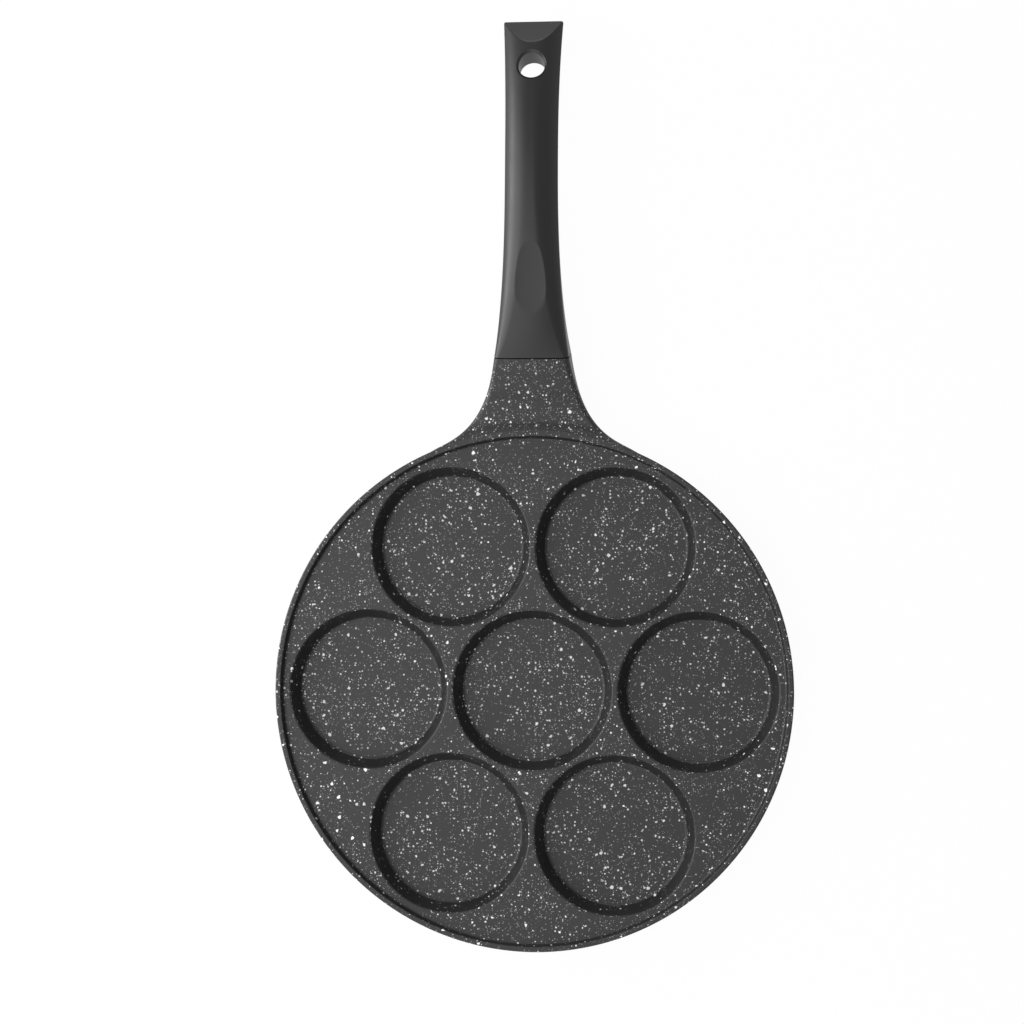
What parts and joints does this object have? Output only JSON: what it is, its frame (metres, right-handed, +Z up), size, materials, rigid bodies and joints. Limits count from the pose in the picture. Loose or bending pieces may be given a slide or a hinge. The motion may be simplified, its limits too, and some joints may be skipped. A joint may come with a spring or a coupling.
{
  "type": "pancake pan",
  "caption": "Round cast pan with shallow round wells for small pancakes, a raised rim, a flared neck and an arched handle with a hanging hole.",
  "frame": {"origin": "middle of the base, on the surface that the pan stands on", "axes": "+Z up out of the wells, +Y from the middle of the pan along the handle, +X to the right with the handle pointing away"},
  "size_m": [0.2598, 0.4643, 0.036],
  "materials": {
    "stone_effect_coating": "die-cast aluminium under a dark grey stone-effect non-stick coating with fine white flecks, semi-matt",
    "base_disc_steel": "pressed perforated steel, ground with the base",
    "handle_phenolic": "satin black heat-resistant moulding",
    "zinc_plated_steel": "zinc plated"
  },
  "bodies": {
    "root": {"pan_body": "stone_effect_coating", "base_disc_middle": "base_disc_steel", "base_disc_1": "base_disc_steel", "base_disc_2": "base_disc_steel", "base_disc_3": "base_disc_steel", "base_disc_4": "base_disc_steel", "base_disc_5": "base_disc_steel", "base_disc_6": "base_disc_steel", "handle": "handle_phenolic", "handle_screw": "zinc_plated_steel", "spring_washer": "zinc_plated_steel", "plain_washer": "zinc_plated_steel"}
  },
  "joints": []
}
